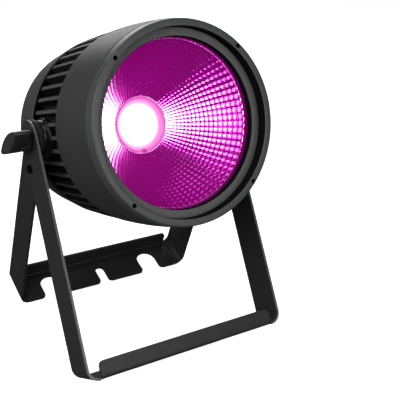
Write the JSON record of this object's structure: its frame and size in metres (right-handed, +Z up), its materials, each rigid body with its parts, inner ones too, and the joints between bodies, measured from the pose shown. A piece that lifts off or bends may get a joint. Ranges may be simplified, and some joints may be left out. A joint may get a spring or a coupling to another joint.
{
  "type": "par can light",
  "caption": "Stage par light: a round finned head with a bezel and a faceted magenta-lit reflector, tilting in a folding double bracket that stands on the floor.",
  "frame": {"origin": "on the floor, in the middle of the light's bounding box", "axes": "+X along the tilt axis, +Y towards the rear, +Z up; the beam leaves towards -Y, 17 degrees above the horizontal"},
  "size_m": [0.325, 0.3006, 0.412],
  "materials": {
    "charcoal_coat": "fine matte powder coat, charcoal",
    "cast_coat": "fine matte powder coat, charcoal, on die-cast aluminium",
    "black_coat": "fine matte powder coat, black",
    "black_plastic": "moulded, satin",
    "black_rubber": "matt rubber",
    "zinc_steel": "zinc plated",
    "black_steel": "blackened screw steel",
    "front_glass": "clear tempered",
    "reflector_mirror": "faceted metallised mirror in magenta light",
    "led_glow": "lit emitter, white with a magenta edge",
    "white_ceramic": "white ceramic and silicone",
    "circuit_board": "green solder mask",
    "dark_window": "smoked clear plastic",
    "blue_plastic": "moulded, blue",
    "grey_plastic": "moulded, grey"
  },
  "bodies": {
    "front_bracket": {"front_bracket": "charcoal_coat", "limit_screw_left": "black_steel", "limit_screw_right": "black_steel", "knob_washer_left": "black_steel", "knob_washer_right": "black_steel"},
    "head": {"bezel_screw_1": "black_steel", "bezel_screw_2": "black_steel", "bezel_screw_3": "black_steel", "bezel_screw_4": "black_steel", "cob_board": "white_ceramic", "cob_emitter": "led_glow", "cob_holder": "white_ceramic", "control_board": "circuit_board", "cover_screw_1": "black_steel", "cover_screw_2": "black_steel", "cover_screw_3": "black_steel", "cover_screw_4": "black_steel", "display_module": "grey_plastic", "display_window": "dark_window", "dmx_in_socket": "black_plastic", "dmx_out_socket": "black_plastic", "driver_board": "circuit_board", "fan_frame": "black_plastic", "finned_housing": "cast_coat", "friction_washer_left": "black_rubber", "friction_washer_right": "black_rubber", "front_bezel": "cast_coat", "front_glass": "front_glass", "fuse_cap": "black_plastic", "glass_gasket": "black_rubber", "ir_window": "dark_window", "power_in_socket": "blue_plastic", "power_out_socket": "grey_plastic", "rear_cover": "cast_coat", "rear_panel": "black_coat", "reflector": "reflector_mirror", "safety_eye": "black_steel", "tilt_boss_left": "black_coat", "tilt_boss_right": "black_coat"},
    "rear_bracket": {"rear_bracket": "black_coat", "spacer_washer_left": "black_plastic", "spacer_washer_right": "black_plastic"},
    "knob_left": {"tilt_knob_left": "black_plastic", "knob_stud_left": "zinc_steel"},
    "knob_right": {"tilt_knob_right": "black_plastic", "knob_stud_right": "zinc_steel"},
    "fan_rotor": {"fan_rotor": "black_plastic"},
    "menu_button_1": {"menu_button_1": "grey_plastic"},
    "menu_button_2": {"menu_button_2": "grey_plastic"},
    "menu_button_3": {"menu_button_3": "grey_plastic"},
    "menu_button_4": {"menu_button_4": "grey_plastic"}
  },
  "joints": [
    {"name": "head_tilt", "type": "hinge", "parent": "front_bracket", "child": "head", "pos_m": [0, 0.01447, 0.26163], "axis": [1, 0, 0], "continuous": true},
    {"name": "rear_bracket_fold", "type": "hinge", "parent": "front_bracket", "child": "rear_bracket", "pos_m": [0, 0.01447, 0.26163], "axis": [1, 0, 0], "range_deg": [-48.4, 0]},
    {"name": "knob_left_turn", "type": "hinge", "parent": "front_bracket", "child": "knob_left", "pos_m": [0, 0.01447, 0.26163], "axis": [-1, 0, 0], "continuous": true},
    {"name": "knob_right_turn", "type": "hinge", "parent": "front_bracket", "child": "knob_right", "pos_m": [0, 0.01447, 0.26163], "axis": [1, 0, 0], "continuous": true},
    {"name": "fan_spin", "type": "hinge", "parent": "head", "child": "fan_rotor", "pos_m": [0, 0.03704, 0.25473], "axis": [0, -0.9563, 0.2924], "continuous": true},
    {"name": "menu_button_1_press", "type": "slide", "parent": "head", "child": "menu_button_1", "axis": [0, -0.9563, 0.2924], "range_m": [0, 0.0012], "stiffness_N_per_m": 600},
    {"name": "menu_button_2_press", "type": "slide", "parent": "head", "child": "menu_button_2", "axis": [0, -0.9563, 0.2924], "range_m": [0, 0.0012], "stiffness_N_per_m": 600},
    {"name": "menu_button_3_press", "type": "slide", "parent": "head", "child": "menu_button_3", "axis": [0, -0.9563, 0.2924], "range_m": [0, 0.0012], "stiffness_N_per_m": 600},
    {"name": "menu_button_4_press", "type": "slide", "parent": "head", "child": "menu_button_4", "axis": [0, -0.9563, 0.2924], "range_m": [0, 0.0012], "stiffness_N_per_m": 600}
  ]
}
